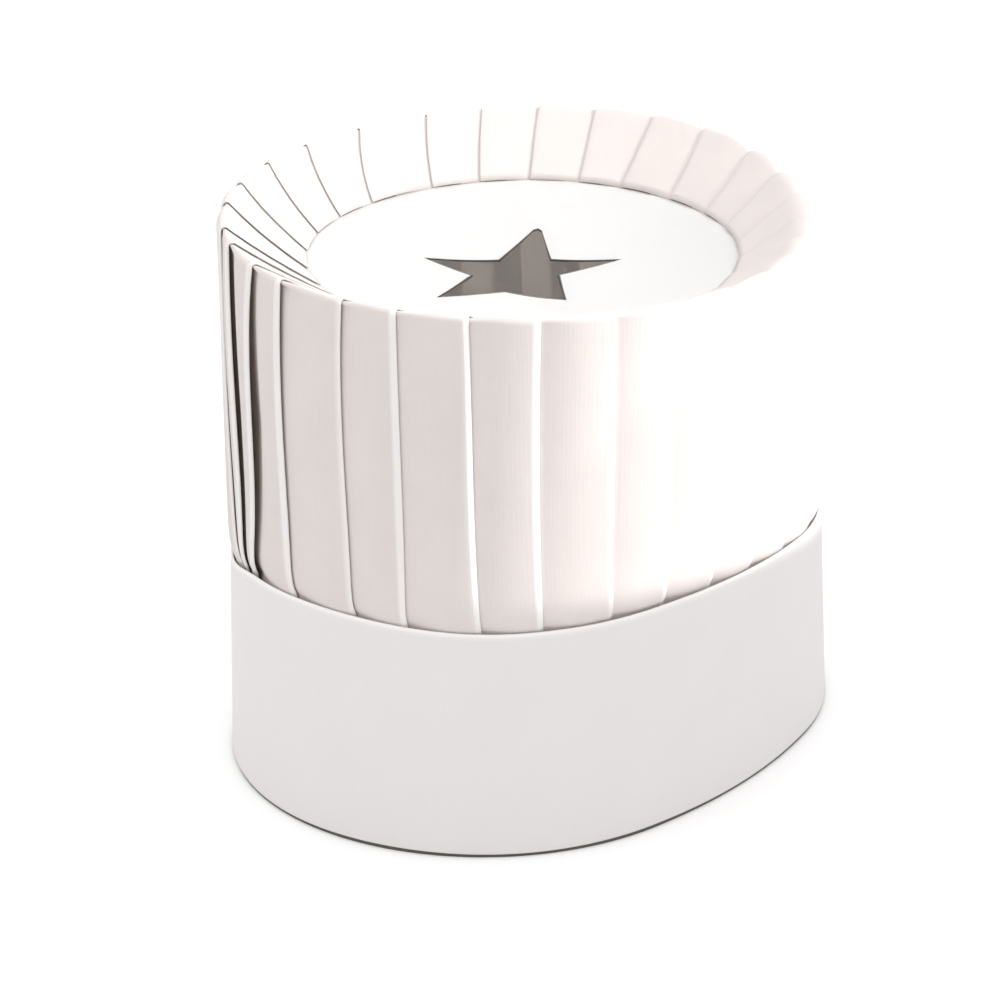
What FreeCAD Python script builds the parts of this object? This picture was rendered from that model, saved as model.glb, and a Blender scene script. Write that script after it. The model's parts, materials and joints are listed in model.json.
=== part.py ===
import FreeCAD, Part
import math
import os

import Sketcher
from FreeCAD import Placement, Rotation, Vector

# A disposable chef's toque: a stiff oval headband, a knife-pleated wall that flares from the
# band to a round rim and turns inward there, and a sunken flat top disc with a star-shaped vent.
# Millimetres. Origin: middle of the band's bottom edge. +Z up, forehead at -Y, band lap at +Y.

# The driving dimensions, one spreadsheet cell each.
SIZES = {
    # headband: an oval of four arcs, two end arcs (front and back) and two flatter sides
    "half_length": 103.3,
    "half_width": 83.8,
    "end_radius": 81.4,
    "band_height": 73,
    "band_thickness": 0.8,
    "band_lean": 2.2,
    "lap_gap": 1,
    "lap_gap_place": 12,
    # the band's inner end, which slides behind its outer end, with its tape and liner
    "slide_clearance": 0.35,
    "tail_thickness": 0.7,
    "tail_foot": 8,
    "tail_height": 46,
    "tail_angle": 60,
    "tail_turn": 7,
    "tape_thickness": 0.3,
    "tape_foot": 24,
    "tape_height": 12,
    "tape_angle": 30,
    "tape_turn": 20,
    "liner_thickness": 0.15,
    "liner_margin": 1,
    # absorbent strip inside the forehead
    "sweatband_thickness": 1.6,
    "sweatband_foot": 6,
    "sweatband_height": 38,
    "sweatband_angle": 150,
    # pleated wall
    "pleat_count": 29,
    "pleat_phase": 0.28,
    "wall_thickness": 0.6,
    "wall_tuck": 13,
    "foot_step": 1.4,
    "rim_step": 3,
    "mouth_step": 2,
    "crown_forward": 2.5,
    "rim_radius": 94.5,
    "rim_height": 171,
    "mouth_radius": 67,
    # glue between the paper pieces
    "glue_thickness": 0.3,
    "glue_margin": 2,
    "glue_ring_width": 3,
    "seam_glue_width": 5,
    "seam_glue_margin": 0.03,
    "bond_clearance": 0.05,
    # top disc and its vent
    "disc_radius": 71,
    "disc_thickness": 0.6,
    "disc_height": 157,
    "star_points": 5,
    "star_tip_radius": 32,
    "star_notch_radius": 12.5,
    "star_turn": 123,
}

FRONT_DEGREES = -90
BACK_DEGREES = 90
# The side arcs' radius follows from the half length, the half width and the end radius.
SIDE_RADIUS = (
    "(Sizes.half_width^2 + (Sizes.half_length - Sizes.end_radius)^2 - Sizes.end_radius^2)"
    " / (2 * (Sizes.half_width - Sizes.end_radius))"
)
END_CENTRE = "(Sizes.half_length - Sizes.end_radius)"

doc = FreeCAD.newDocument("ChefToque")
sheet = doc.addObject("Spreadsheet::Sheet", "Sizes")
for row, (alias, value) in enumerate(SIZES.items(), start=1):
    sheet.set(f"A{row}", alias)
    sheet.set(f"B{row}", str(value))
    sheet.setAlias(f"B{row}", alias)
doc.recompute()


def number(expression):
    """The value of an expression of the sheet's cells."""
    value = sheet.evalExpression(expression)
    return float(getattr(value, "Value", value))


def lean_at(height):
    """How far the band's faces have leaned in at a height, as an expression."""
    return f"Sizes.band_lean * ({height}) / Sizes.band_height"


# ---------------------------------------------------------------- PartDesign helpers


def new_body(label):
    body = doc.addObject("PartDesign::Body", label)
    body.Label = label
    return body


def new_sketch(body, role, name, height=None):
    """A sketch on one of the body's own origin planes, raised by an expression if given."""
    sketch = body.newObject("Sketcher::SketchObject", f"{body.Name}_{name}")
    plane = next(item for item in body.Origin.OriginFeatures if item.Role == role)
    sketch.AttachmentSupport = [(plane, "")]
    sketch.MapMode = "FlatFace"
    if height:
        sketch.setExpression("AttachmentOffset.Base.z", height)
    return sketch


def bind(sketch, kind, *where, to):
    """Adds a dimension and ties it to an expression."""
    index = sketch.addConstraint(Sketcher.Constraint(kind, *where, number(to)))
    sketch.setExpression(f"Constraints[{index}]", to)


def draw_polygon(sketch, corners):
    """Closed straight outline, each corner an (x, y) pair of expressions above zero."""
    places = [Vector(number(x), number(y), 0) for x, y in corners]
    count = len(places)
    lines = [
        sketch.addGeometry(Part.LineSegment(places[i], places[(i + 1) % count]), False)
        for i in range(count)
    ]
    for i in range(count):
        sketch.addConstraint(Sketcher.Constraint("Coincident", lines[i], 2, lines[(i + 1) % count], 1))
    for line, (x, y) in zip(lines, corners):
        bind(sketch, "DistanceX", -1, 1, line, 1, to=x)
        bind(sketch, "DistanceY", -1, 1, line, 1, to=y)


def draw_oval(sketch, inset):
    """The band's oval of four tangent arcs, moved inward by an expression."""
    centre = number(END_CENTRE)
    end = number(f"Sizes.end_radius - ({inset})")
    side = number(f"{SIDE_RADIUS} - ({inset})")
    offset = number(f"{SIDE_RADIUS} - Sizes.half_width")
    swing = math.atan2(offset, centre)
    places = [
        (Vector(0, -centre, 0), end, math.radians(FRONT_DEGREES), swing),
        (Vector(-offset, 0, 0), side, 0.0, math.pi / 2 - swing),
        (Vector(0, centre, 0), end, math.radians(BACK_DEGREES), swing),
        (Vector(offset, 0, 0), side, math.pi, math.pi / 2 - swing),
    ]
    arcs = []
    for middle, radius, direction, half in places:
        circle = Part.Circle(middle, Vector(0, 0, 1), radius)
        arc = Part.ArcOfCircle(circle, direction - half, direction + half)
        arcs.append(sketch.addGeometry(arc, False))
    front, right, back, left = arcs
    for first, second in zip(arcs, arcs[1:] + arcs[:1]):
        sketch.addConstraint(Sketcher.Constraint("Tangent", first, 2, second, 1))
    for arc in (front, back):
        sketch.addConstraint(Sketcher.Constraint("PointOnObject", arc, 3, -2))
        bind(sketch, "Radius", arc, to=f"Sizes.end_radius - ({inset})")
    for arc in (right, left):
        bind(sketch, "Radius", arc, to=f"{SIDE_RADIUS} - ({inset})")
    bind(sketch, "DistanceY", front, 3, -1, 1, to=END_CENTRE)
    bind(sketch, "DistanceY", -1, 1, back, 3, to=END_CENTRE)


def oval_strip(label, inset, thickness, low, high):
    """A strip that runs all round inside the band's outer face, leaning with it."""
    body = new_body(label)
    for kind, depth in (("Additive", inset), ("Subtractive", f"{inset} + {thickness}")):
        rings = []
        for level, height in (("low", low), ("high", high)):
            ring = new_sketch(body, "XY_Plane", f"{kind}_{level}", height)
            draw_oval(ring, f"{depth} + {lean_at(height)}")
            rings.append(ring)
        loft = body.newObject(f"PartDesign::{kind}Loft", f"{label}_{kind}Loft")
        loft.Profile = rings[0]
        loft.Sections = [rings[1]]
        loft.Ruled = True
        doc.recompute()
    return body


def arc_strip(label, facing, inset, thickness, low, height, angle, turn="0"):
    """A strip along the front or back end arc, leaning with the band.
    turn moves its middle counter-clockwise along the arc, in degrees."""
    body = new_body(label)
    section = new_sketch(body, "XZ_Plane", "section")
    high = f"{low} + {height}"
    outer = f"Sizes.end_radius - ({inset})"
    inner = f"{outer} - {thickness}"
    draw_polygon(
        section,
        [
            (f"{inner} - {lean_at(low)}", low),
            (f"{outer} - {lean_at(low)}", low),
            (f"{outer} - {lean_at(high)}", high),
            (f"{inner} - {lean_at(high)}", high),
        ],
    )
    turned = body.newObject("PartDesign::Revolution", f"{label}_Revolution")
    turned.Profile = section
    turned.ReferenceAxis = (section, ["V_Axis"])
    turned.Midplane = True
    turned.setExpression("Angle", angle)
    side = 1 if facing == BACK_DEGREES else -1
    body.Placement = Placement(
        Vector(0, side * number(END_CENTRE), 0),
        Rotation(Vector(0, 0, 1), facing + number(turn)),
    )
    return body


# ---------------------------------------------------------------- headband and what it carries

headband = oval_strip("headband", "0", "Sizes.band_thickness", "0", "Sizes.band_height")
lap_cut = new_sketch(headband, "XY_Plane", "lap_cut")
draw_polygon(
    lap_cut,
    [
        ("Sizes.lap_gap_place", "Sizes.half_width"),
        ("Sizes.lap_gap_place + Sizes.lap_gap", "Sizes.half_width"),
        ("Sizes.lap_gap_place + Sizes.lap_gap", "Sizes.half_length + Sizes.band_height"),
        ("Sizes.lap_gap_place", "Sizes.half_length + Sizes.band_height"),
    ],
)
lap = headband.newObject("PartDesign::Pocket", "headband_Lap")
lap.Profile = lap_cut
lap.Type = "ThroughAll"
lap.Reversed = True

TAIL_INSET = (
    "Sizes.band_thickness + Sizes.slide_clearance + Sizes.liner_thickness + Sizes.tape_thickness"
    " + 2 * Sizes.bond_clearance"
)
headband_tail = arc_strip(
    "headband_tail", BACK_DEGREES, TAIL_INSET, "Sizes.tail_thickness",
    "Sizes.tail_foot", "Sizes.tail_height", "Sizes.tail_angle", "Sizes.tail_turn",
)
closure_tape = arc_strip(
    "closure_tape", BACK_DEGREES,
    "Sizes.band_thickness + Sizes.slide_clearance + Sizes.liner_thickness + Sizes.bond_clearance",
    "Sizes.tape_thickness", "Sizes.tape_foot", "Sizes.tape_height", "Sizes.tape_angle", "Sizes.tape_turn",
)
release_liner = arc_strip(
    "release_liner", BACK_DEGREES, "Sizes.band_thickness + Sizes.slide_clearance",
    "Sizes.liner_thickness", "Sizes.tape_foot - Sizes.liner_margin",
    "(Sizes.tape_height + 2 * Sizes.liner_margin)", "Sizes.tape_angle + Sizes.liner_margin",
    "Sizes.tape_turn",
)
sweatband = arc_strip(
    "sweatband", FRONT_DEGREES, "Sizes.band_thickness + Sizes.bond_clearance",
    "Sizes.sweatband_thickness", "Sizes.sweatband_foot", "Sizes.sweatband_height", "Sizes.sweatband_angle",
)
wall_glue = oval_strip(
    "wall_glue", "Sizes.band_thickness + Sizes.bond_clearance", "Sizes.glue_thickness",
    "Sizes.band_height - Sizes.wall_tuck + Sizes.glue_margin", "Sizes.band_height - Sizes.glue_margin",
)

# ---------------------------------------------------------------- top disc, its vent and its glue

# The round rim and the disc stand a little towards the forehead.
CROWN_MIDDLE = Vector(0, -number("Sizes.crown_forward"), 0)


def draw_circles(sketch, radii):
    """Circles about the sketch's origin, one for each radius expression."""
    for radius in radii:
        circle = sketch.addGeometry(Part.Circle(Vector(0, 0, 0), Vector(0, 0, 1), number(radius)), False)
        sketch.addConstraint(Sketcher.Constraint("Coincident", circle, 3, -1, 1))
        bind(sketch, "Radius", circle, to=radius)


def round_plate(label, radii, foot, thickness):
    """A flat disc, or a ring when two radii are given, standing on a height."""
    body = new_body(label)
    outline = new_sketch(body, "XY_Plane", "outline", foot)
    draw_circles(outline, radii)
    pad = body.newObject("PartDesign::Pad", f"{label}_Pad")
    pad.Profile = outline
    pad.setExpression("Length", thickness)
    doc.recompute()
    return body


def cut_star(body):
    """Cuts one kite-shaped arm through the plate and repeats it round the middle."""
    arm = new_sketch(body, "XY_Plane", "star_arm")
    half_turn = "180deg / Sizes.star_points"
    notch_x = f"Sizes.star_notch_radius * cos({half_turn})"
    notch_y = f"Sizes.star_notch_radius * sin({half_turn})"
    corners = [
        Vector(0, 0, 0),
        Vector(number(notch_x), -number(notch_y), 0),
        Vector(number("Sizes.star_tip_radius"), 0, 0),
        Vector(number(notch_x), number(notch_y), 0),
    ]
    sides = [
        arm.addGeometry(Part.LineSegment(corners[i], corners[(i + 1) % len(corners)]), False)
        for i in range(len(corners))
    ]
    for first, second in zip(sides, sides[1:] + sides[:1]):
        arm.addConstraint(Sketcher.Constraint("Coincident", first, 2, second, 1))
    arm.addConstraint(Sketcher.Constraint("Coincident", sides[0], 1, -1, 1))
    arm.addConstraint(Sketcher.Constraint("PointOnObject", sides[2], 1, -1))
    arm.addConstraint(Sketcher.Constraint("Symmetric", sides[1], 1, sides[3], 1, -1))
    bind(arm, "DistanceX", -1, 1, sides[2], 1, to="Sizes.star_tip_radius")
    bind(arm, "DistanceX", -1, 1, sides[3], 1, to=notch_x)
    bind(arm, "DistanceY", -1, 1, sides[3], 1, to=notch_y)
    pocket = body.newObject("PartDesign::Pocket", f"{body.Name}_Arm")
    pocket.Profile = arm
    pocket.Type = "ThroughAll"
    pocket.Reversed = True
    doc.recompute()
    pattern = body.newObject("PartDesign::PolarPattern", f"{body.Name}_Star")
    pattern.Originals = [pocket]
    pattern.Axis = (arm, ["N_Axis"])
    pattern.Angle = 360
    pattern.Occurrences = int(number("Sizes.star_points"))
    body.Tip = pattern


top_disc = round_plate(
    "top_disc", ["Sizes.disc_radius"], "Sizes.disc_height - Sizes.disc_thickness", "Sizes.disc_thickness"
)
cut_star(top_disc)
top_disc.Placement = Placement(CROWN_MIDDLE, Rotation(Vector(0, 0, 1), number("Sizes.star_turn")))

disc_glue = round_plate(
    "disc_glue",
    ["Sizes.mouth_radius + Sizes.glue_ring_width", "Sizes.mouth_radius"],
    "Sizes.disc_height",
    "Sizes.glue_thickness",
)
disc_glue.Placement = Placement(CROWN_MIDDLE, Rotation())

# ---------------------------------------------------------------- pleated wall


def oval_point(fraction, inset, height):
    """The point at a fraction of the band's length, counter-clockwise from the forehead."""
    centre = number(END_CENTRE)
    end = number("Sizes.end_radius")
    side = number(SIDE_RADIUS)
    offset = side - number("Sizes.half_width")
    swing = math.atan2(offset, centre)
    arcs = [
        (0, -centre, end, FRONT_DEGREES, 0, swing),
        (-offset, 0, side, 0, swing - math.pi / 2, math.pi / 2 - swing),
        (0, centre, end, BACK_DEGREES, -swing, swing),
        (offset, 0, side, 180, swing - math.pi / 2, math.pi / 2 - swing),
        (0, -centre, end, FRONT_DEGREES, -swing, 0),
    ]
    travel = (fraction % 1) * sum(radius * (stop - start) for _, _, radius, _, start, stop in arcs)
    for x, y, radius, facing, start, stop in arcs:
        length = radius * (stop - start)
        if travel <= length:
            break
        travel -= length
    angle = math.radians(facing) + start + travel / radius
    return Vector(x + (radius - inset) * math.cos(angle), y + (radius - inset) * math.sin(angle), height)


def round_point(fraction, radius, height):
    """The point at a fraction of a turn, counter-clockwise from the forehead, on the crown's circle."""
    angle = math.radians(FRONT_DEGREES) + 2 * math.pi * fraction
    return CROWN_MIDDLE + Vector(radius * math.cos(angle), radius * math.sin(angle), height)


class Ring:
    """One level of the pleated sheet: where it runs, how tall its pleats stand and which way."""

    def __init__(self, place, length, step, tilt_degrees):
        self.place = place  # a function of (fraction, distance outward, distance up)
        self.length = length
        self.step = step
        self.tilt = math.radians(tilt_degrees)

    def point(self, fraction, depth):
        """A point that lies a depth under the sheet's outer face."""
        return self.place(fraction, -depth * math.cos(self.tilt), -depth * math.sin(self.tilt))


def tucked(height):
    """A level inside the band, against the glue on its inner face."""
    gap = number(
        f"Sizes.band_thickness + Sizes.glue_thickness + 2 * Sizes.bond_clearance + {lean_at(height)}"
    )
    return lambda fraction, out, up: oval_point(fraction, gap - out, height + up)


def circular(radius, height):
    return lambda fraction, out, up: round_point(fraction, radius + out, height + up)


def pleat_rings():
    """The wall's levels, from its foot inside the band, over the rim, to its end on the disc."""
    band_top = number("Sizes.band_height")
    foot = band_top - number("Sizes.wall_tuck")
    around = 2 * math.pi * number("Sizes.end_radius")
    rim_radius = number("Sizes.rim_radius")
    mouth_radius = number("Sizes.mouth_radius")
    mouth_rise = number(
        "Sizes.glue_thickness + Sizes.bond_clearance + Sizes.wall_thickness + Sizes.mouth_step"
    )
    mouth_height = number("Sizes.disc_height") + mouth_rise
    return [
        Ring(tucked(foot), around, number("Sizes.foot_step"), 0),
        Ring(tucked(band_top), around, number("Sizes.foot_step"), 0),
        Ring(
            circular(rim_radius, number("Sizes.rim_height")),
            2 * math.pi * rim_radius, number("Sizes.rim_step"), 45,
        ),
        Ring(circular(mouth_radius, mouth_height), 2 * math.pi * mouth_radius, number("Sizes.mouth_step"), 90),
    ]


def pleated_loop(ring, depth, shift):
    """The closed zigzag of one level: each panel rises towards its folded edge, then steps in."""
    count = int(number("Sizes.pleat_count"))
    phase = number("Sizes.pleat_phase")
    corners = []
    for pleat in range(count):
        start = (pleat + phase) / count - shift / ring.length
        end = (pleat + 1 + phase) / count - shift / ring.length
        corners.append(ring.point(start, ring.step + depth))
        corners.append(ring.point(end, depth))
    return corners


def skin(loops):
    """A closed solid from loops of points, each joined to the next and the last to the first."""
    faces = []
    for lower, upper in zip(loops, loops[1:] + loops[:1]):
        count = len(lower)
        for i in range(count):
            after = (i + 1) % count
            faces.append(
                Part.makeRuledSurface(
                    Part.makeLine(lower[i], lower[after]), Part.makeLine(upper[i], upper[after])
                )
            )
    shell = Part.makeShell(faces)
    shell.sewShape()
    solid = Part.Solid(shell)
    if solid.Volume < 0:
        solid.reverse()
    return solid


rings = pleat_rings()
wall_thickness = number("Sizes.wall_thickness")
outer_loops = [pleated_loop(ring, 0, 0) for ring in rings]
inner_loops = [pleated_loop(ring, wall_thickness, wall_thickness) for ring in rings]
crown_wall = doc.addObject("Part::Feature", "crown_wall")
crown_wall.Shape = skin(outer_loops + inner_loops[::-1])
crown_wall.Placement = Placement()


def seam_corners(loop):
    """The glue line behind the wall's lap at one level: four corners on the panel nearest the back."""
    pleat = int(number("Sizes.pleat_count")) // 2
    start, end = loop[2 * pleat : 2 * pleat + 2]
    along = (end - start).normalize()
    inward = Vector(-along.y, along.x, 0)
    half = number("Sizes.seam_glue_width") / 2
    near = number("Sizes.bond_clearance")
    far = near + number("Sizes.glue_thickness")
    return [
        (start + end) / 2 + along * across + inward * depth
        for across, depth in ((-half, near), (half, near), (half, far), (-half, far))
    ]


seam_foot, seam_top = [seam_corners(loop) for loop in inner_loops[1:3]]
seam_levels = []
for share in (number("Sizes.seam_glue_margin"), 1 - number("Sizes.seam_glue_margin")):
    corners = [low + (high - low) * share for low, high in zip(seam_foot, seam_top)]
    seam_levels.append(Part.makePolygon(corners + corners[:1]))
wall_seam_glue = doc.addObject("Part::Feature", "wall_seam_glue")
wall_seam_glue.Shape = Part.makeLoft(seam_levels, True, True)
wall_seam_glue.Placement = Placement()

# ---------------------------------------------------------------- check and write

doc.recompute()
for item in doc.Objects:
    if {"Invalid", "Error"} & set(item.State):
        raise RuntimeError(f"{item.Label} did not recompute: {item.State}")

PIECES = [
    headband, headband_tail, closure_tape, release_liner, sweatband,
    wall_glue, crown_wall, wall_seam_glue, disc_glue, top_disc,
]
os.makedirs("parts", exist_ok=True)
for piece in PIECES:
    shape = piece.Shape
    if shape.isNull() or not shape.isValid() or not shape.Solids:
        raise RuntimeError(f"{piece.Label} has no sound solid")
    box = shape.BoundBox
    print(
        f"{piece.Label}: {len(shape.Solids)} solid, {shape.Volume / 1000:.2f} cm3, "
        f"x {box.XMin:.1f}..{box.XMax:.1f}, y {box.YMin:.1f}..{box.YMax:.1f}, z {box.ZMin:.1f}..{box.ZMax:.1f}"
    )
    shape.exportStep(f"parts/{piece.Label}.step")
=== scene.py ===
import json
import math

import bpy
import numpy as np
from mathutils import Matrix, Quaternion, Vector


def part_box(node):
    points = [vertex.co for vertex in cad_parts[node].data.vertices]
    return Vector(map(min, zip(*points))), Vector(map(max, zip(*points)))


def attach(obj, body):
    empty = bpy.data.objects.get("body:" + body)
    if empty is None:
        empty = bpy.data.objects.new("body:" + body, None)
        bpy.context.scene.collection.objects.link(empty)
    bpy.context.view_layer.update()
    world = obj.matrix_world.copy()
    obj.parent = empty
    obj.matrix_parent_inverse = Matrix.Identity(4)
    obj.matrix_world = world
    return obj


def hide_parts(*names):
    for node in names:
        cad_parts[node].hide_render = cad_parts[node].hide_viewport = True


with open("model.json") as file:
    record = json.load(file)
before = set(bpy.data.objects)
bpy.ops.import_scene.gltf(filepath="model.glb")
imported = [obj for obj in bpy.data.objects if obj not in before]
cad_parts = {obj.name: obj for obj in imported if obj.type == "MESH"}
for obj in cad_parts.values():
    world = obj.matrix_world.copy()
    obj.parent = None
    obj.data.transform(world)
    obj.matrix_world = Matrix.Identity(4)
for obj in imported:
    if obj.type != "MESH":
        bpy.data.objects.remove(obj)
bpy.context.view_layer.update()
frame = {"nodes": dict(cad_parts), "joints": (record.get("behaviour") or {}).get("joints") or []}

# A disposable chef's toque in paper: headband, pleated crown wall, sunken top disc with a star vent.
# Metres, in the CAD frame: +Z up, forehead at -Y, band lap at +Y.

MM = 0.001

# ---------------------------------------------------------------- sizes, from the frame

BAND_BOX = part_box("headband")
CROWN_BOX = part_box("crown_wall")
DISC_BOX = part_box("top_disc")
TAIL_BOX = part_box("headband_tail")
TAPE_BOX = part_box("closure_tape")
SWEAT_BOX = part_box("sweatband")

HALF_WIDTH = BAND_BOX[1].x
HALF_LENGTH = BAND_BOX[1].y
BAND_HEIGHT = BAND_BOX[1].z
END_CENTRE = frame["joints"][0]["pos_m"][1]
END_RADIUS = HALF_LENGTH - END_CENTRE
SIDE_RADIUS = (HALF_WIDTH**2 + END_CENTRE**2 - END_RADIUS**2) / (2 * (HALF_WIDTH - END_RADIUS))
SIDE_CENTRE = SIDE_RADIUS - HALF_WIDTH
BAND_LEAN = 2.2 * MM
BAND_PLY = 0.38 * MM
BAND_SLIT = 0.14 * MM
LAP_BEHIND = 12.5 * MM
LAP_GAP = 1.0 * MM

CROWN_MIDDLE = np.array([0.0, (DISC_BOX[0].y + DISC_BOX[1].y) / 2, 0.0])
DISC_RADIUS = (DISC_BOX[1].y - DISC_BOX[0].y) / 2
DISC_TOP = DISC_BOX[1].z
RIM_HEIGHT = CROWN_BOX[1].z
RIM_RADIUS = CROWN_BOX[1].x
WALL_FOOT = CROWN_BOX[0].z
MOUTH_RADIUS = 66 * MM

PLEATS = 29
PLEAT_PHASE = 0.28
PLEAT_SHEET = 38 * MM
PAPER = 0.14 * MM
DISC_SHEET = 0.45 * MM
PLEAT_SLACK = 0.18 * MM
BEVEL_WIDTH = 1.3 * MM
BEVEL_DROP = 0.6 * MM
MOUTH_RISE = 0.8 * MM
RIM_BEND = 2.0 * MM
RIM_DRAW_IN = 1.3 * MM
RIM_LIFT = 3.2 * MM
BACK_LIFT = 1.3 * MM
SOFT_BEND = 7.0 * MM
FOOT_INSET = 1.6 * MM
WALL_INSET = 1.5 * MM
BAND_BULGE = 2.4 * MM
BAND_BULGE_RISE = 3.5 * MM
WALL_BULGE = 0.4 * MM
SOFT_BULGE = 2.2 * MM
PANEL_PUFF = 0.012
SOFT_PUFF = 0.06
DISC_SAG = 7.0 * MM
DISC_RIPPLE = 0.35 * MM
GLUE_LINE = (62.5 * MM, 66.5 * MM)

# Places round the hat: middle and reach, in turns from the forehead towards the wearer's left.
SOFT_SIDE = (0.36, 0.17)
SOFT_PANELS = (0.38, 0.2)
DRAWN_SIDE = (0.86, 0.16)
HIGH_BACK = (0.585, 0.15)
# Where the band's top edge stands higher or lower: mm, middle and reach.
BAND_EDGE = [(1.7, 0.01, 0.10), (-5.0, 0.89, 0.06), (-5.0, 0.37, 0.20)]


# ---------------------------------------------------------------- curves the paper follows


def oval(fraction, inset):
    """Points and outward directions of the band's oval, at fractions of a turn from the forehead."""
    swing = math.atan2(SIDE_CENTRE, END_CENTRE)
    side_swing = math.pi / 2 - swing
    arcs = [
        (0, -END_CENTRE, END_RADIUS, -math.pi / 2, 0, swing),
        (-SIDE_CENTRE, 0, SIDE_RADIUS, 0, -side_swing, side_swing),
        (0, END_CENTRE, END_RADIUS, math.pi / 2, -swing, swing),
        (SIDE_CENTRE, 0, SIDE_RADIUS, math.pi, -side_swing, side_swing),
        (0, -END_CENTRE, END_RADIUS, -math.pi / 2, -swing, 0),
    ]
    lengths = [radius * (stop - start) for _, _, radius, _, start, stop in arcs]
    travel = np.mod(fraction, 1.0) * sum(lengths)
    points = np.zeros(np.shape(travel) + (3,))
    outward = np.zeros_like(points)
    done = 0.0
    for (x, y, radius, facing, start, _), length in zip(arcs, lengths):
        here = travel >= done
        angle = facing + start + (travel - done) / radius
        step = np.stack([np.cos(angle), np.sin(angle), np.zeros_like(angle)], -1)
        middle = np.array([x, y, 0.0])
        depth = np.asarray(radius - inset)[..., None]
        points = np.where(here[..., None], middle + step * depth, points)
        outward = np.where(here[..., None], step, outward)
        done += length
    return points, outward


OVAL_LENGTH = 4 * (
    END_RADIUS * math.atan2(SIDE_CENTRE, END_CENTRE)
    + SIDE_RADIUS * (math.pi / 2 - math.atan2(SIDE_CENTRE, END_CENTRE))
)


def circle(fraction, radius):
    """Points of a crown circle, at fractions of a turn from the forehead."""
    angle = 2 * math.pi * np.asarray(fraction) - math.pi / 2
    step = np.stack([np.cos(angle), np.sin(angle), np.zeros_like(angle)], -1)
    return CROWN_MIDDLE + step * radius


def unit(vectors):
    """The vectors at length 1."""
    return vectors / np.linalg.norm(vectors, axis=-1, keepdims=True)


def hump(fraction, middle, half_width):
    """A smooth rise to 1 around a fraction of a turn, gone at half_width each side."""
    away = np.abs((np.asarray(fraction) - middle + 0.5) % 1.0 - 0.5) / half_width
    return np.where(away < 1, np.cos(np.clip(away, 0, 1) * math.pi / 2) ** 2, 0.0)


def band_rise(fraction):
    """How far the band's free edge stands over its height in the frame, or under it."""
    return sum(size * hump(fraction, middle, reach) for size, middle, reach in BAND_EDGE) * MM


def crown_base(fraction, level):
    """Points and outward directions of the surface that the pleats lie on.
    level runs 0 foot, 1 band top, 2 below the rim, 3 past the rim, 4 end on the disc."""
    fraction, level = np.broadcast_arrays(np.asarray(fraction, float), np.asarray(level, float))
    up = np.array([0.0, 0.0, 1.0])
    soft_side = hump(fraction, *SOFT_SIDE)[..., None]
    high_back = hump(fraction, *HIGH_BACK)[..., None]
    foot, foot_out = oval(fraction, BAND_LEAN * WALL_FOOT / BAND_HEIGHT + FOOT_INSET)
    top, _ = oval(fraction, BAND_LEAN + WALL_INSET)
    foot = foot + up * WALL_FOOT
    top = top + up * BAND_HEIGHT
    draw_in = (soft_side + hump(fraction, *DRAWN_SIDE)[..., None]) * RIM_DRAW_IN
    rim = circle(fraction, RIM_RADIUS) - (circle(fraction, 1.0) - CROWN_MIDDLE) * draw_in
    rim = rim + up * (RIM_HEIGHT + RIM_LIFT + high_back * BACK_LIFT)
    mouth = circle(fraction, MOUTH_RADIUS) + up * (DISC_TOP + MOUTH_RISE)
    down_wall = unit(top - rim)
    down_bowl = unit(mouth - rim)
    bend = RIM_BEND + soft_side * (SOFT_BEND - RIM_BEND)
    half = np.arccos(np.clip((down_wall * down_bowl).sum(-1, keepdims=True), -1, 1)) / 2
    reach = bend / np.tan(half)
    centre = rim + unit(down_wall + down_bowl) * bend / np.sin(half)
    wall_end = rim + down_wall * reach
    bowl_start = rim + down_bowl * reach
    wall_out = unit(wall_end - centre)
    bowl_out = unit(bowl_start - centre)

    level = level[..., None]
    tuck = np.clip(level, 0, 1)
    climb = np.clip(level - 1, 0, 1)
    roll = np.clip(level - 2, 0, 1)
    bowl = np.clip(level - 3, 0, 1)
    sweep = math.pi - 2 * half
    turned = unit(wall_out * np.sin((1 - roll) * sweep) + bowl_out * np.sin(roll * sweep))
    points = foot + (top - foot) * tuck + (wall_end - top) * climb
    points = np.where(level > 2, centre + turned * bend, points)
    points = np.where(level > 3, bowl_start + (mouth - bowl_start) * bowl, points)
    outward = unit(foot_out * (1 - tuck) + wall_out * tuck)
    outward = np.where(level > 2, turned, outward)
    above = np.clip(points[..., 2:] - BAND_HEIGHT - band_rise(fraction)[..., None], 0, None)
    over_band = BAND_BULGE * (1 - climb) ** 1.5 * (1 - np.exp(-above / BAND_BULGE_RISE))
    belly = (WALL_BULGE + soft_side * SOFT_BULGE) * np.sin(math.pi * climb)
    return points + outward * (over_band + belly), outward


# ---------------------------------------------------------------- mesh helpers


def mesh_object(name, points, faces, uvs=None, marks=None):
    """A smooth-shaded mesh from points, faces, their places on the flat sheet, and named marks."""
    mesh = bpy.data.meshes.new(name)
    mesh.from_pydata([tuple(p) for p in points], [], [tuple(int(i) for i in f) for f in faces])
    mesh.polygons.foreach_set("use_smooth", [True] * len(mesh.polygons))
    corner_points = np.zeros(len(mesh.loops), np.int32)
    mesh.loops.foreach_get("vertex_index", corner_points)
    if uvs is not None:
        layer = mesh.uv_layers.new(name="flat")
        layer.data.foreach_set("uv", np.asarray(uvs)[corner_points].astype(np.float32).ravel())
    for mark, values in (marks or {}).items():
        attribute = mesh.attributes.new(mark, "FLOAT", "POINT")
        attribute.data.foreach_set("value", np.asarray(values, np.float32).ravel())
    mesh.update()
    piece = bpy.data.objects.new(name, mesh)
    bpy.context.scene.collection.objects.link(piece)
    return piece


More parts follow.
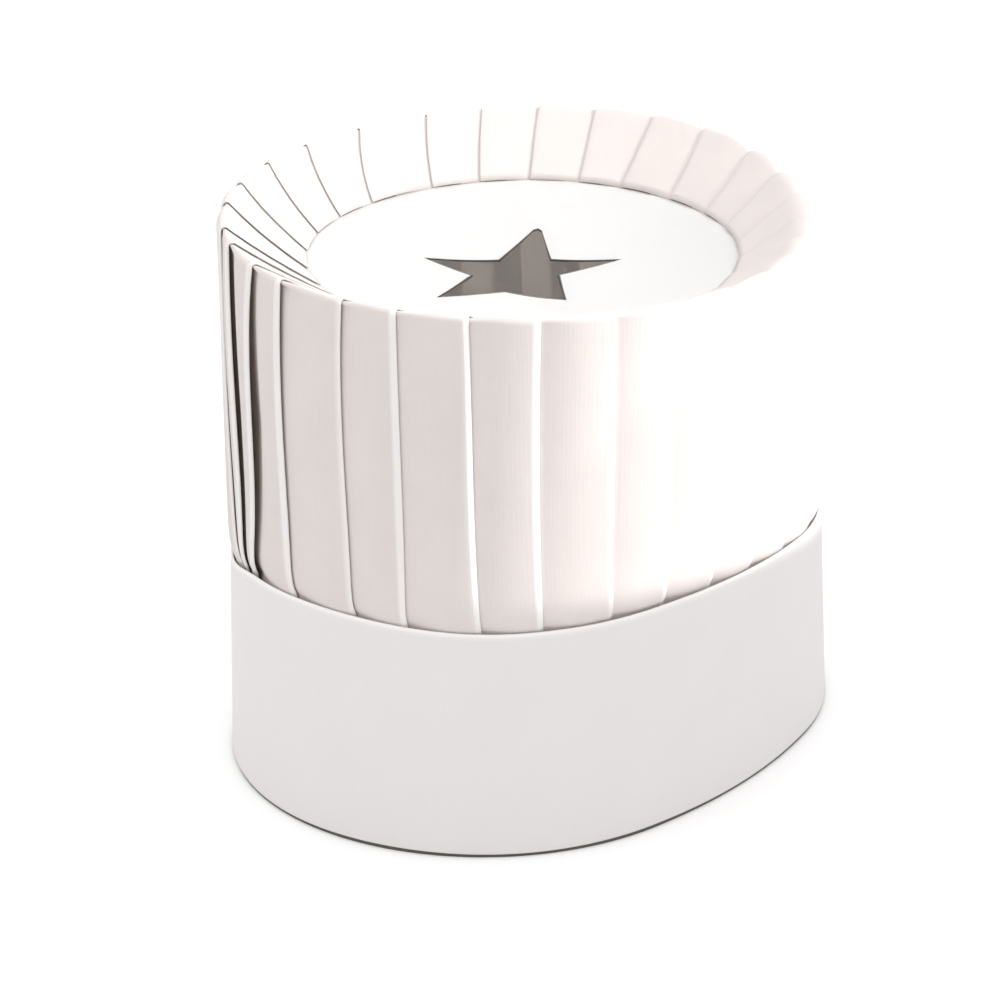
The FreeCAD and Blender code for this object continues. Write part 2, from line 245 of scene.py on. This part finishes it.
def grid_faces(rows, columns, closed):
    """Faces of a grid of points, row by row; closed joins the last column to the first."""
    across = columns if closed else columns - 1
    row, column = np.meshgrid(np.arange(rows - 1), np.arange(across), indexing="ij")
    after = (column + 1) % columns
    low, high = row * columns, (row + 1) * columns
    return np.stack([low + column, low + after, high + after, high + column], -1).reshape(-1, 4)


def thicken(piece, thickness):
    """Gives a sheet its thickness, inwards from the modelled face."""
    solid = piece.modifiers.new("thickness", "SOLIDIFY")
    solid.thickness = thickness
    solid.offset = -1.0
    return piece


# ---------------------------------------------------------------- materials


def paper(name, colour, painted_shading_colour, translucency, streak, emboss, dimples):
    """Paper: fibre streaks and mottling in its colour, painted highlights along creases and painted
    shading in marked places, a bump of fibres and of pressed dimples, and some light let through."""
    material = bpy.data.materials.new(name)
    material.use_nodes = True
    tree = material.node_tree
    nodes, links = tree.nodes, tree.links
    shader = nodes["Principled BSDF"]
    output = nodes["Material Output"]
    shader.inputs["Roughness"].default_value = 0.85
    shader.inputs["Specular IOR Level"].default_value = 0.25
    shader.inputs["Sheen Weight"].default_value = 0.15
    shader.inputs["Sheen Roughness"].default_value = 0.6

    flat = nodes.new("ShaderNodeUVMap")
    flat.uv_map = "flat"
    stretch = nodes.new("ShaderNodeMapping")
    stretch.inputs["Scale"].default_value = (1.0, 0.08, 1.0)
    links.new(flat.outputs["UV"], stretch.inputs["Vector"])
    fibres = nodes.new("ShaderNodeTexNoise")
    fibres.inputs["Scale"].default_value = 900.0
    fibres.inputs["Detail"].default_value = 6.0
    fibres.inputs["Roughness"].default_value = 0.7
    links.new(stretch.outputs["Vector"], fibres.inputs["Vector"])
    cloud = nodes.new("ShaderNodeTexNoise")
    cloud.inputs["Scale"].default_value = 45.0
    cloud.inputs["Detail"].default_value = 4.0
    links.new(flat.outputs["UV"], cloud.inputs["Vector"])

    mottle = nodes.new("ShaderNodeMix")
    mottle.data_type = "FLOAT"
    mottle.inputs[0].default_value = 0.5
    links.new(fibres.outputs["Fac"], mottle.inputs[2])
    links.new(cloud.outputs["Fac"], mottle.inputs[3])
    ramp = nodes.new("ShaderNodeValToRGB")
    ramp.color_ramp.elements[0].position = 0.3
    ramp.color_ramp.elements[1].position = 0.7
    ramp.color_ramp.elements[0].color = (*[c * (1 - streak) for c in colour], 1)
    ramp.color_ramp.elements[1].color = (*colour, 1)
    links.new(mottle.outputs[0], ramp.inputs["Fac"])

    shade = ramp.outputs["Color"]
    # Painted highlight: the first mark tints fold edges near white. Painted shading: the second mark
    # blends in the shading colour, which paints shade into folds and gaps, or paints it out with a
    # lighter colour.
    for mark, tint in (("painted_highlight", (0.98, 0.96, 0.95)), ("painted_shading", painted_shading_colour)):
        place = nodes.new("ShaderNodeAttribute")
        place.attribute_name = mark
        blend = nodes.new("ShaderNodeMix")
        blend.data_type = "RGBA"
        links.new(place.outputs["Fac"], blend.inputs[0])
        links.new(shade, blend.inputs[6])
        blend.inputs[7].default_value = (*tint, 1)
        shade = blend.outputs[2]
    links.new(shade, shader.inputs["Base Color"])

    pressed = nodes.new("ShaderNodeTexVoronoi")
    pressed.inputs["Scale"].default_value = 780.0
    pressed.inputs["Randomness"].default_value = 0.15
    links.new(flat.outputs["UV"], pressed.inputs["Vector"])
    dimple = nodes.new("ShaderNodeBump")
    dimple.inputs["Strength"].default_value = dimples
    dimple.inputs["Distance"].default_value = 0.00012
    links.new(pressed.outputs["Distance"], dimple.inputs["Height"])
    bump = nodes.new("ShaderNodeBump")
    bump.inputs["Strength"].default_value = emboss
    bump.inputs["Distance"].default_value = 0.00025
    links.new(mottle.outputs[0], bump.inputs["Height"])
    links.new(dimple.outputs["Normal"], bump.inputs["Normal"])
    links.new(bump.outputs["Normal"], shader.inputs["Normal"])

    through = nodes.new("ShaderNodeBsdfTranslucent")
    links.new(shade, through.inputs["Color"])
    links.new(bump.outputs["Normal"], through.inputs["Normal"])
    both = nodes.new("ShaderNodeMixShader")
    both.inputs["Fac"].default_value = translucency
    links.new(shader.outputs["BSDF"], both.inputs[1])
    links.new(through.outputs["BSDF"], both.inputs[2])
    links.new(both.outputs["Shader"], output.inputs["Surface"])
    return material


def plain_coated(name, colour, roughness):
    """Glue, tape or liner: a faintly mottled satin film."""
    material = bpy.data.materials.new(name)
    material.use_nodes = True
    nodes, links = material.node_tree.nodes, material.node_tree.links
    shader = nodes["Principled BSDF"]
    shader.inputs["Roughness"].default_value = roughness
    place = nodes.new("ShaderNodeTexCoord")
    cloud = nodes.new("ShaderNodeTexNoise")
    cloud.inputs["Scale"].default_value = 300.0
    links.new(place.outputs["Object"], cloud.inputs["Vector"])
    ramp = nodes.new("ShaderNodeValToRGB")
    ramp.color_ramp.elements[0].color = (*[c * 0.9 for c in colour], 1)
    ramp.color_ramp.elements[1].color = (*colour, 1)
    links.new(cloud.outputs["Fac"], ramp.inputs["Fac"])
    links.new(ramp.outputs["Color"], shader.inputs["Base Color"])
    bump = nodes.new("ShaderNodeBump")
    bump.inputs["Strength"].default_value = 0.2
    bump.inputs["Distance"].default_value = 0.0002
    links.new(cloud.outputs["Fac"], bump.inputs["Height"])
    links.new(bump.outputs["Normal"], shader.inputs["Normal"])
    return material


# Its second colour is painted shade for the covered layers inside the pleats.
CROWN_PAPER = paper(
    "crown_paper", (0.885, 0.83, 0.812), (0.36, 0.30, 0.24),
    translucency=0.35, streak=0.05, emboss=0.4, dimples=0.25,
)
# The inner face of the sheet, painted lighter than the outer face to lift the shade inside the hat; its
# second colour paints the double layers lighter still, to even out their shade.
CROWN_INSIDE = paper(
    "crown_inside", (0.95, 0.91, 0.87), (0.97, 0.94, 0.91),
    translucency=0.2, streak=0.05, emboss=0.4, dimples=0.25,
)
# Its second colour is painted shade: near black along the foot of the inner ply, as the shadow in the
# slit under the lifted outer ply.
BAND_BOARD = paper(
    "band_board", (0.765, 0.737, 0.73), (0.10, 0.095, 0.075),
    translucency=0.05, streak=0.03, emboss=0.2, dimples=0.0,
)
# Its second colour is painted shade along the star's cut edge.
DISC_BOARD = paper(
    "disc_board", (0.97, 0.965, 0.96), (0.12, 0.11, 0.09),
    translucency=0.55, streak=0.03, emboss=0.25, dimples=0.0,
)
GLUE = plain_coated("glue", (0.85, 0.82, 0.72), 0.4)
TAPE = plain_coated("tape", (0.82, 0.80, 0.72), 0.35)
LINER = plain_coated("liner", (0.78, 0.82, 0.86), 0.3)


def finish_piece(piece, material, slot, body, *nodes):
    """Gives a piece its material and its body, and hides the CAD nodes it replaces; the slot is not
    used.
    """
    piece.data.materials.append(material)
    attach(piece, body)
    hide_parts(*nodes)


# ---------------------------------------------------------------- pleated crown wall


def smoothstep(x):
    """0 up to x = 0, 1 from x = 1 on, and smooth between."""
    x = np.clip(x, 0, 1)
    return x * x * (3 - 2 * x)


# The folds are not evenly spread. Each row: fold; its drift in degrees at the four CLIMBS up the
# wall and at the mouth; then how far it stands open below, in mm, at the band, half way up, at the
# rim and at the mouth.
CLIMBS = (0.0, 0.25, 0.6, 1.0)
FOLDS = np.array([
    (-13, 1.5, 1.7, 1.8, 1.9, 1.0, 0.4, 0.6, 0.5, 0.25),
    (-10, 1.5, 0.6, -0.2, -0.6, 5.2, 0.4, 0.6, 0.5, 0.25),
    (-9, 2.0, 2.0, 2.1, 2.1, 13.0, 0.4, 0.7, 0.5, 0.25),
    (-8, 3.0, 3.2, 3.4, 3.5, 14.4, 0.5, 0.8, 0.6, 0.25),
    (-6, 6.0, 5.2, 4.3, 4.0, 17.0, 0.5, 1.0, 0.7, 0.25),
    (-5, 10.0, 7.5, 3.5, 3.0, 18.0, 0.8, 1.2, 0.8, 0.3),
    (-4, 17.0, 11.8, 4.9, 4.8, 18.5, 1.5, 2.4, 2.0, 0.3),
    (-3, 8.2, 6.9, 3.0, 1.2, 16.0, 1.4, 2.6, 1.6, 0.3),
    (-2, 0.5, 1.8, 0.2, 1.3, 12.0, 1.6, 3.2, 1.6, 0.3),
    (-1, 2.4, 1.1, -0.9, -1.3, 9.5, 0.5, 0.8, 1.3, 0.3),
    (0, 4.6, 3.6, 2.0, 1.6, 8.5, 0.5, 0.5, 0.8, 0.25),
    (1, 2.9, 2.4, 1.4, 0.3, 8.0, 0.3, 0.35, 0.4, 0.25),
    (2, 4.5, 3.3, 2.3, 1.3, 6.0, 0.3, 0.3, 0.3, 0.25),
    (3, 3.6, 2.6, 1.8, 1.5, 4.0, 0.3, 0.35, 0.4, 0.25),
    (4, 4.9, 4.1, 3.4, 2.6, 2.0, 0.4, 0.4, 0.3, 0.25),
    (8, 4.0, 3.2, 2.4, 2.0, -5.0, 0.3, 0.5, 0.4, 0.25),
    (13, 2.0, 1.3, 0.7, 0.4, -5.2, 0.4, 0.6, 0.5, 0.25),
    (14, 2.0, 2.1, 2.2, 2.3, -2.8, 0.4, 0.6, 0.5, 0.25),
    (16, 1.5, 1.7, 1.8, 1.9, 1.0, 0.4, 0.6, 0.5, 0.25),
])


def fold_value(column):
    """One column of FOLDS for the folds 0 to 28, the missing ones in between."""
    folds = np.arange(PLEATS)
    return np.interp(np.where(folds > 14, folds - PLEATS, folds), FOLDS[:, 0], FOLDS[:, column])


def crown_levels():
    """The rows of the pleated sheet, closer together where it bends."""
    tuck = np.linspace(0, 1, 6)[:-1]
    climb = 1 + np.linspace(0, 1, 27)[:-1] ** 1.25
    roll = np.linspace(2, 3, 9)[:-1]
    bowl = np.linspace(3, 4, 11)
    return np.concatenate([tuck, climb, roll, bowl])


def fold_lines(levels):
    """Where each fold lies on each row, in turns, and its openings: under it, and inside it."""
    climb = np.clip(levels - 1, 0, 1)[:, None]
    bowl = np.clip(levels - 3, 0, 1)[:, None]
    on_wall = np.stack([fold_value(c) for c in (1, 2, 3, 4)])
    drift = np.zeros((len(levels), PLEATS))
    for i, here in enumerate(CLIMBS):
        weight = 1.0
        for other in CLIMBS[:i] + CLIMBS[i + 1:]:
            weight = weight * (climb - other) / (here - other)
        drift = drift + weight * on_wall[i]
    drift = drift + (fold_value(5) - on_wall[3]) * bowl
    place = (np.arange(PLEATS)[None, :] + PLEAT_PHASE) / PLEATS + drift / 360
    under = np.stack([
        np.interp(levels, [0, 1, 1.5, 2, 2.6, 4], [g[0] / 2, g[0], g[1], g[2], g[3], g[3]])
        for g in np.stack([fold_value(c) for c in (6, 7, 8, 9)], 1)
    ], 1) * MM
    inside = np.interp(levels, [0, 1, 1.3, 2, 3, 4], [0.4, 0.5, 0.7, 0.6, 0.3, 0.25])[:, None] * MM
    return place, under, inside


def build_crown():
    """One sheet in knife pleats: panel, outer fold, return layer and inner fold, 29 times."""
    levels = crown_levels()
    rows = len(levels)
    place, under, inside = fold_lines(levels)
    ring = np.linspace(0, 1, 721)
    around = np.linalg.norm(
        np.diff(crown_base(ring[None, :], levels[:, None])[0], axis=1), axis=2
    ).sum(1)[:, None]

    # each panel runs from fold k to fold k + 1; each fold laps back under the panel before it
    after = (np.roll(place, -1, 1) - place) % 1.0
    width = after * around
    before = np.roll(width, 1, 1)
    lap = np.minimum((PLEAT_SHEET - (width + before) / 2) / 2, before - 0.8 * MM)
    next_lap = np.roll(lap, -1, 1)
    bevel = np.interp(levels, [0, 1, 1.2, 2, 3, 4], [0.3, 0.6, 1.0, 1.0, 0.2, 0.1])[:, None]
    bevel = bevel * BEVEL_DROP
    stack = sum(np.maximum(gap, PLEAT_SLACK) for gap in (under, inside, bevel))
    next_under = np.roll(under, -1, 1)
    at_rim = np.exp(-((levels - 2.6) / 0.5) ** 2)[:, None]
    puff = PANEL_PUFF + SOFT_PUFF * hump(place + after / 2, *SOFT_PANELS) * at_rim

    def spread(values):
        """The values per row and fold, ready to be run across each panel."""
        return values[:, :, None]

    def ridge_depth(run):
        """Height of panel k over the base at run metres past fold k, from deep at fold k to 0."""
        share = np.clip(run / spread(width), 0, 1)
        return spread(puff * width) * np.sin(math.pi * share) - spread(stack) * (1 - share) ** 2

    def bevel_depth(run):
        """How far the panel's edge turns down towards fold k + 1."""
        return spread(bevel) * smoothstep(1 - (spread(width) - run) / BEVEL_WIDTH)

    def opening(back, wide, power):
        """A fold's opening narrows from its mouth to the paper's slack at the end of the lap."""
        share = np.clip(back / np.maximum(spread(next_lap), 1e-6), 0, 1)
        return PLEAT_SLACK + np.maximum(spread(wide) - PLEAT_SLACK, 0) * (1 - share**power)

    # the panel in the open, from fold k to fold k + 1
    share = np.linspace(0, 1, 17) ** 0.9
    share = np.sort(np.concatenate([share[:-1], [0.88, 0.94, 1.0]]))[None, None, :]
    panel_run = spread(width) * share
    panel_deep = ridge_depth(panel_run) - bevel_depth(panel_run)

    # under panel k: the covered start of panel k + 1 and the return layer, metres back from fold k + 1
    back = spread(next_lap) * np.linspace(0, 1, 8)[None, None, :]
    over = ridge_depth(spread(width) - back) - opening(back, inside, 0.7)
    return_deep = over - bevel_depth(spread(width) - back)
    start_deep = over - opening(back, bevel, 0.7) - opening(back, next_under, 1.6)

    # the folds are round: half a turn between the two layers
    turn = np.linspace(0, math.pi, 7)[1:-1][None, None, :]
    outer_middle = (panel_deep[..., -1:] + return_deep[..., :1]) / 2
    outer_radius = (panel_deep[..., -1:] - return_deep[..., :1]) / 2
    outer_run = spread(width) + outer_radius * 0.8 * np.sin(turn)
    outer_deep = outer_middle + outer_radius * np.cos(turn)
    inner_middle = (return_deep[..., -1:] + start_deep[..., -1:]) / 2
    inner_radius = (return_deep[..., -1:] - start_deep[..., -1:]) / 2
    inner_run = spread(width) - back[..., -1:] - inner_radius * np.sin(turn)
    inner_deep = inner_middle + inner_radius * np.cos(turn)

    run = np.concatenate([
        panel_run, outer_run, spread(width) - back, inner_run, (spread(width) - back)[..., :0:-1]
    ], -1)
    deep = np.concatenate([
        panel_deep, outer_deep, return_deep, inner_deep, start_deep[..., :0:-1]
    ], -1)
    samples = run.shape[-1]
    panel_end = panel_run.shape[-1]
    seen = panel_end + turn.shape[-1]

    fraction = spread(place) + run / spread(around)
    points, outward = crown_base(fraction, levels[:, None, None])
    points = points + outward * deep[..., None]

    steps = np.sqrt(np.diff(run, axis=-1) ** 2 + np.diff(deep, axis=-1) ** 2)
    travel = np.concatenate([0 * run[..., :1], np.cumsum(steps, -1)], -1)
    flat_x = travel + np.arange(PLEATS)[None, :, None] * PLEAT_SHEET
    rise = np.linalg.norm(np.diff(points[:, 0, 8], axis=0), axis=1)
    flat_y = np.broadcast_to(np.concatenate([[0], np.cumsum(rise)])[:, None, None], flat_x.shape)
    # Painted shade: the covered layers inside each fold take the dark shading colour, and past the rim
    # the outer fold's roll takes half of it as a thin painted shadow line.
    painted_shading = np.zeros(run.shape)
    painted_shading[..., seen:] = 1.0
    past_rim = smoothstep((levels - 2.2) / 0.6)[:, None, None]
    painted_shading[..., panel_end:seen] = 0.5 * past_rim
    # Painted highlight: a near-white strip along each fold edge, fading out past the rim.
    painted_highlight = smoothstep((run - spread(width) + 1.15 * BEVEL_WIDTH) / (0.3 * BEVEL_WIDTH))
    painted_highlight = painted_highlight * (1 - past_rim)
    painted_highlight[..., seen:] = 0.0

    piece = mesh_object(
        "pleated_wall",
        points.reshape(-1, 3),
        grid_faces(rows, PLEATS * samples, True),
        np.stack([flat_x, flat_y], -1).reshape(-1, 2),
        {"painted_shading": painted_shading, "painted_highlight": painted_highlight},
    )
    thicken(piece, PAPER).modifiers["thickness"].material_offset = 1
    finish_piece(piece, CROWN_PAPER, "crown_paper", "hat", "crown_wall")
    piece.data.materials.append(CROWN_INSIDE)


# ---------------------------------------------------------------- headband


def band_inset(fraction, height):
    """How far in the band's outer face stands: its lean and a slight waviness of the free edge."""
    wave = 0.3 * np.sin(6 * math.pi * fraction + 0.7) + 0.15 * np.sin(14 * math.pi * fraction + 2.1)
    return BAND_LEAN * height / BAND_HEIGHT + wave * MM * smoothstep(height / BAND_HEIGHT)


def build_headband():
    """A strip folded double at its top edge, run once round the oval from lap edge to lap edge."""
    depth = 2 * BAND_PLY + BAND_SLIT
    top = BAND_HEIGHT
    heights = [0.2 * MM, 0.7 * MM, *np.linspace(1.2 * MM, top - 2.2 * MM, 24)]
    heights += [top - 1.3 * MM, top - depth / 2]
    turn = np.linspace(0, math.pi, 9)[1:-1]
    section = [(0.1 * MM, 0.0)] + [(0.0, z) for z in heights]
    section += [(depth / 2 * (1 - math.cos(a)), top - depth / 2 * (1 - math.sin(a))) for a in turn]
    section += [(depth, z) for z in heights[::-1]] + [(depth - 0.1 * MM, 0.0)]
    section += [(BAND_PLY + BAND_SLIT, z) for z in (0.0, 2 * MM)]
    section += [(BAND_PLY, z) for z in (2 * MM, 0.0)]
    section = np.array(section)

    lap = 0.5 - LAP_BEHIND / OVAL_LENGTH
    around = np.linspace(lap, lap + 1 - LAP_GAP / OVAL_LENGTH, 361)
    fraction = np.broadcast_to(around[:, None], (len(around), len(section)))
    inset, height = section[:, 0], section[:, 1]
    points, _ = oval(fraction, inset + band_inset(fraction, height))
    share = smoothstep(height / BAND_HEIGHT)[None, :]
    rise = band_rise(fraction) * share
    # the outer ply's foot hangs free, about a millimetre off the floor
    lift = 0.95 + 0.25 * np.sin(2 * math.pi * fraction + 1.0) + 0.12 * np.sin(14 * math.pi * fraction)
    outer_ply = inset < BAND_PLY + BAND_SLIT / 2
    lift = lift * ((1 - smoothstep(height / (12 * MM))) * outer_ply)[None, :]
    points[..., 2] = height + rise + lift * MM
    count = len(section)
    faces = [tuple(f)[::-1] for f in grid_faces(len(around), count, True)]
    last = (len(around) - 1) * count
    faces += [tuple(range(count)), tuple(range(last + count - 1, last - 1, -1))]
    travel = np.concatenate([[0], np.cumsum(np.linalg.norm(np.diff(section, axis=0), axis=1))])
    flat = np.stack(np.broadcast_arrays(around[:, None] * OVAL_LENGTH, travel[None, :]), -1)
    # Painted highlight: the top 1.4 mm of the band, at its rolled edge, tinted near white.
    painted_highlight = 0.6 * smoothstep((height - top + 1.4 * MM) / (0.3 * MM))
    painted_highlight = np.broadcast_to(painted_highlight, fraction.shape)
    # Painted shade: the inner ply's foot, below 2.2 mm, takes the band's near-black shading colour as a
    # contact shadow.
    painted_contact_shadow = np.broadcast_to(~outer_ply & (height < 2.2 * MM), fraction.shape)
    piece = mesh_object(
        "band_strip", points.reshape(-1, 3), faces, flat.reshape(-1, 2),
        {"painted_highlight": painted_highlight, "painted_shading": painted_contact_shadow},
    )
    finish_piece(piece, BAND_BOARD, "band_board", "hat", "headband")


def build_wall_glue():
    """The glue line between the band and the foot of the wall."""
    fraction = np.linspace(0, 1, 301)[:-1]
    height = np.linspace(*GLUE_LINE, 5)[:, None]
    points, _ = oval(fraction[None, :], 0.93 * MM + band_inset(fraction, height))
    points[..., 2] = height
    piece = mesh_object("glue_line", points.reshape(-1, 3), grid_faces(5, 300, True))
    finish_piece(thicken(piece, 0.35 * MM), GLUE, "glue", "hat", "wall_glue")


# ---------------------------------------------------------------- top disc

# The star's tips and notches, as (degrees from +X, radius in mm), counter-clockwise.
STAR = [
    (30.5, 10.7), (55.1, 31.4), (93.6, 14.5), (118.6, 32.9), (121, 34.4), (123.4, 33.2),
    (160.6, 13.5), (198.3, 32.3), (224.8, 15.4), (263, 35.7), (290.3, 15.9), (323, 21.6), (336.6, 28),
]


def star_edge(angle):
    """The star's radius in a direction, in radians from +X."""
    corners = sorted((math.radians(a % 360), r * MM) for a, r in STAR)
    corners = [(corners[-1][0] - 2 * math.pi, corners[-1][1])] + corners
    corners.append((corners[1][0] + 2 * math.pi, corners[1][1]))
    angle = angle % (2 * math.pi)
    for (a0, r0), (a1, r1) in zip(corners, corners[1:]):
        if a0 <= angle <= a1 + 1e-9:
            share = r0 * r1 * math.sin(a1 - a0)
            return share / (r0 * math.sin(angle - a0) + r1 * math.sin(a1 - angle))
    raise ValueError(angle)


def build_disc():
    """The flat board with the star cut through it, sagging in the middle and slightly rippled."""
    directions = sorted(
        {round(math.radians(a % 360), 9) for a, _ in STAR}
        | {round(a, 9) for a in np.linspace(0, 2 * math.pi, 241)[:-1]}
    )
    directions = np.array(directions)
    inner = np.array([star_edge(a) for a in directions])
    steps = np.concatenate([[0, 0.009, 0.018], np.linspace(0, 1, 16)[1:] ** 0.9])
    radius = inner[None, :] + (DISC_RADIUS - inner[None, :]) * steps[:, None]
    x = radius * np.cos(directions)[None, :]
    y = radius * np.sin(directions)[None, :]
    dip = DISC_SAG * np.clip(1 - (radius / MOUTH_RADIUS) ** 2, 0, None)
    share = radius / DISC_RADIUS
    ripple = DISC_RIPPLE * np.sin(3 * directions + 1.0)[None, :] * share * (1 - share) * 4
    z = DISC_TOP - dip + ripple
    points = np.stack([x, y, z], -1) + CROWN_MIDDLE
    # Painted shade: a thin dark ring along the star's cut edge.
    painted_edge_shade = np.broadcast_to((steps < 0.012)[:, None], x.shape)
    piece = mesh_object(
        "star_disc", points.reshape(-1, 3), grid_faces(len(steps), len(directions), True),
        np.stack([x, y], -1).reshape(-1, 2), {"painted_shading": painted_edge_shade},
    )
    thicken(piece, DISC_SHEET)
    finish_piece(piece, DISC_BOARD, "disc_board", "hat", "top_disc")


# ---------------------------------------------------------------- strips inside the band


BACK, FOREHEAD = 1, -1


def arc_patch(name, end, inset, degrees, heights, corner, thickness, bulge=0.0):
    """A strip inside one end arc of the oval, with rounded corners, leaning with the band.
    inset, corner, thickness and bulge are in mm."""
    radius = END_RADIUS - inset * MM
    corner = corner * MM
    across = np.linspace(0, 1, 61)
    up = np.linspace(0, 1, 17)
    low, high = heights
    first, last = (math.radians(a) for a in degrees)
    along = np.minimum(across, 1 - across) * (last - first) * radius
    rounding = corner - np.sqrt(np.clip(corner**2 - (corner - along) ** 2, 0, None))
    cut = np.where(along < corner, rounding, 0.0)
    angle = end * math.pi / 2 + first + (last - first) * across
    z = (low + cut)[None, :] + (high - low - 2 * cut)[None, :] * up[:, None]
    crown = bulge * MM * (1 - (2 * up[:, None] - 1) ** 4)
    r = radius - BAND_LEAN * z / BAND_HEIGHT - crown
    points = np.stack(
        [r * np.cos(angle)[None, :], end * END_CENTRE + r * np.sin(angle)[None, :], z], -1
    )
    flat = np.stack([np.broadcast_to(angle[None, :] * radius, z.shape), z], -1)
    piece = mesh_object(
        name, points.reshape(-1, 3), grid_faces(len(up), len(across), False), flat.reshape(-1, 2)
    )
    return thicken(piece, thickness * MM)


def build_strips():
    """The tail with its tape and liner, and the sweatband."""
    tail_heights = (TAIL_BOX[0].z, TAIL_BOX[1].z)
    tape_heights = (TAPE_BOX[0].z, TAPE_BOX[1].z)
    liner_heights = (TAPE_BOX[0].z - 1 * MM, TAPE_BOX[1].z + 1 * MM)
    sweat_heights = (SWEAT_BOX[0].z, SWEAT_BOX[1].z)
    tail = arc_patch("band_tail", BACK, 1.75, (-23, 37), tail_heights, 9, 0.45)
    finish_piece(tail, BAND_BOARD, "band_board", "tail", "headband_tail")
    tape = arc_patch("tape_strip", BACK, 1.36, (5, 35), tape_heights, 0.6, 0.28)
    finish_piece(tape, TAPE, "tape", "tail", "closure_tape")
    liner = arc_patch("liner_strip", BACK, 1.18, (4.5, 35.5), liner_heights, 1, 0.1)
    finish_piece(liner, LINER, "liner", "tail", "release_liner")
    sweat = arc_patch("sweat_strip", FOREHEAD, 0.95, (-75, 75), sweat_heights, 6, 0.9, 0.6)
    finish_piece(sweat, CROWN_PAPER, "sweat_pad", "hat", "sweatband")


build_crown()
build_headband()
build_wall_glue()
build_disc()
build_strips()
for node in ("wall_seam_glue", "disc_glue"):
    frame["nodes"][node].data.materials.clear()
    frame["nodes"][node].data.materials.append(GLUE)

# ---------------------------------------------------------------- floor, light and camera


def build_floor():
    """The pale surface the hat stands on."""
    points = [(-3, -3, 0), (3, -3, 0), (3, 3, 0), (-3, 3, 0)]
    floor = mesh_object("floor", points, [(0, 1, 2, 3)])
    material = bpy.data.materials.new("floor")
    material.use_nodes = True
    shader = material.node_tree.nodes["Principled BSDF"]
    shader.inputs["Base Color"].default_value = (0.95, 0.95, 0.95, 1)
    shader.inputs["Roughness"].default_value = 0.9
    shader.inputs["Specular IOR Level"].default_value = 0.1
    floor.data.materials.append(material)


CAMERA_AZIMUTH = math.radians(39.6)
CAMERA_ELEVATION = math.radians(23.99)
CAMERA_ROLL = math.radians(-0.72)
CAMERA_DISTANCE = 1.3
CAMERA_LENS = 148.67
CAMERA_AIM = Vector((-0.0073, -0.0060, 0.0739))


def build_camera():
    """The photo's camera, aimed at the hat from the wearer's front left and above."""
    towards = Vector((
        math.sin(CAMERA_AZIMUTH) * math.cos(CAMERA_ELEVATION),
        -math.cos(CAMERA_AZIMUTH) * math.cos(CAMERA_ELEVATION),
        math.sin(CAMERA_ELEVATION),
    ))
    right = Vector((math.cos(CAMERA_AZIMUTH), math.sin(CAMERA_AZIMUTH), 0))
    up = towards.cross(right)
    across = right * math.cos(CAMERA_ROLL) + up * math.sin(CAMERA_ROLL)
    along = up * math.cos(CAMERA_ROLL) - right * math.sin(CAMERA_ROLL)
    camera = bpy.data.objects.new("camera", bpy.data.cameras.new("camera"))
    camera.data.lens = CAMERA_LENS
    camera.data.sensor_width = 36
    camera.data.clip_start = 0.05
    place = CAMERA_AIM + towards * CAMERA_DISTANCE
    turn = Matrix((across, along, towards)).transposed().to_4x4()
    camera.matrix_world = Matrix.Translation(place) @ turn
    bpy.context.scene.collection.objects.link(camera)
    bpy.context.scene.camera = camera


def area_light(name, place, aim, size, watts, spread=180, roll=0):
    """A rectangular softbox; spread and roll in degrees."""
    lamp = bpy.data.lights.new(name, "AREA")
    lamp.shape = "RECTANGLE"
    lamp.size, lamp.size_y = size
    lamp.energy = watts
    lamp.spread = math.radians(spread)
    light = bpy.data.objects.new(name, lamp)
    light.location = place
    turn = (Vector(aim) - Vector(place)).to_track_quat("-Z", "Y")
    light.rotation_euler = (turn @ Quaternion((0, 0, 1), math.radians(roll))).to_euler()
    bpy.context.scene.collection.objects.link(light)


def camera_side(right, away, up):
    """A place given as seen from the camera: metres to the right, away from it, and up."""
    a = CAMERA_AZIMUTH
    return Vector((
        right * math.cos(a) - away * math.sin(a),
        right * math.sin(a) + away * math.cos(a),
        up,
    ))


def build_light():
    """A pale tent, a wide softbox overhead, and two narrow gridded ones at the camera's right:
    side along the wall, and key down on the far rim at the camera's left."""
    world = bpy.data.worlds.new("studio")
    world.use_nodes = True
    world.node_tree.nodes["Background"].inputs["Color"].default_value = (1, 1, 1, 1)
    world.node_tree.nodes["Background"].inputs["Strength"].default_value = 0.91
    bpy.context.scene.world = world
    area_light("overhead", camera_side(0, 0, 1.6), (0, 0, 0), (2.2, 2.2), 15)
    area_light(
        "side", camera_side(0.494, -0.075, 0.13), (0, 0, 0.13), (0.36, 0.125), 0.13, spread=1.6, roll=-9
    )
    area_light(
        "key", camera_side(0.43, 0, 0.444), camera_side(-0.079, 0, 0.126), (0.22, 0.1), 0.05, spread=4
    )
    bpy.context.scene.view_settings.view_transform = "Standard"


build_floor()
build_camera()
build_light()
